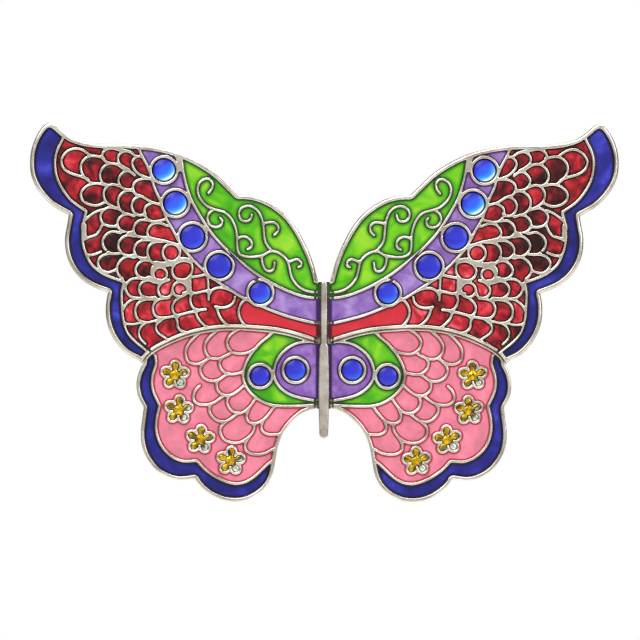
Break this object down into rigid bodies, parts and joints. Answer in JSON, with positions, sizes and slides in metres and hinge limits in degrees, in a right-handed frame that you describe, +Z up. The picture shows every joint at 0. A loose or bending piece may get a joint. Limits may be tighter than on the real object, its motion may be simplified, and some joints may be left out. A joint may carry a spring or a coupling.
{
  "type": "brooch",
  "caption": "Butterfly brooch with enamelled cells in raised metal walls, a body bar, and a hinged pin stem that closes in a turning safety catch.",
  "frame": {"origin": "on the axis of the closed pin stem, midway between its hinge and its catch, in the plane that halves the butterfly", "axes": "+X to the right seen from the front and along the pin stem towards the catch, +Y from the face to the wearer, +Z up towards the wing tips"},
  "size_m": [0.0618, 0.0066, 0.0398],
  "materials": {
    "plated_casting": "polished silver-tone plating on cast zinc alloy",
    "findings": "bright plated",
    "pin_steel": "drawn and polished",
    "blue_enamel": "glossy",
    "red_enamel": "glossy, translucent",
    "lilac_enamel": "glossy",
    "green_enamel": "glossy, translucent",
    "pink_enamel": "glossy",
    "purple_enamel": "glossy",
    "blue_glass": "foiled glass cabochon",
    "amber_enamel": "glossy, translucent over bright metal"
  },
  "bodies": {
    "butterfly": {"body_bar": "plated_casting", "back_rib": "plated_casting", "pin_joint": "findings", "hinge_rivet": "findings", "catch_base": "findings", "left_back_plate": "plated_casting", "left_forewing_frame": "plated_casting", "left_hindwing_frame": "plated_casting", "left_forewing_blue_border": "blue_enamel", "left_red_scales": "red_enamel", "left_red_band": "red_enamel", "left_lilac_panels": "lilac_enamel", "left_green_panel": "green_enamel", "left_pink_scales": "pink_enamel", "left_hindwing_blue_border": "blue_enamel", "left_green_crescents": "green_enamel", "left_purple_eye": "purple_enamel", "left_blue_stone_1": "blue_glass", "left_blue_stone_2": "blue_glass", "left_blue_stone_3": "blue_glass", "left_blue_stone_4": "blue_glass", "left_blue_stone_5": "blue_glass", "left_blue_stone_6": "blue_glass", "left_blue_stone_7": "blue_glass", "left_flower_1": "amber_enamel", "left_flower_2": "amber_enamel", "left_flower_3": "amber_enamel", "left_flower_4": "amber_enamel", "right_back_plate": "plated_casting", "right_forewing_frame": "plated_casting", "right_hindwing_frame": "plated_casting", "right_forewing_blue_border": "blue_enamel", "right_red_scales": "red_enamel", "right_red_band": "red_enamel", "right_lilac_panels": "lilac_enamel", "right_green_panel": "green_enamel", "right_pink_scales": "pink_enamel", "right_hindwing_blue_border": "blue_enamel", "right_green_crescents": "green_enamel", "right_purple_eye": "purple_enamel", "right_blue_stone_1": "blue_glass", "right_blue_stone_2": "blue_glass", "right_blue_stone_3": "blue_glass", "right_blue_stone_4": "blue_glass", "right_blue_stone_5": "blue_glass", "right_blue_stone_6": "blue_glass", "right_blue_stone_7": "blue_glass", "right_flower_1": "amber_enamel", "right_flower_2": "amber_enamel", "right_flower_3": "amber_enamel", "right_flower_4": "amber_enamel"},
    "pin": {"pin_stem": "pin_steel"},
    "rotor": {"catch_rotor": "findings"}
  },
  "joints": [
    {"name": "pin_swing", "type": "hinge", "parent": "butterfly", "child": "pin", "pos_m": [-0.015, 0, 0], "axis": [0, 0, 1], "range_deg": [0, 60]},
    {"name": "catch_turn", "type": "hinge", "parent": "butterfly", "child": "rotor", "pos_m": [0.015, 0, 0], "axis": [-1, 0, 0], "range_deg": [0, 110]}
  ]
}
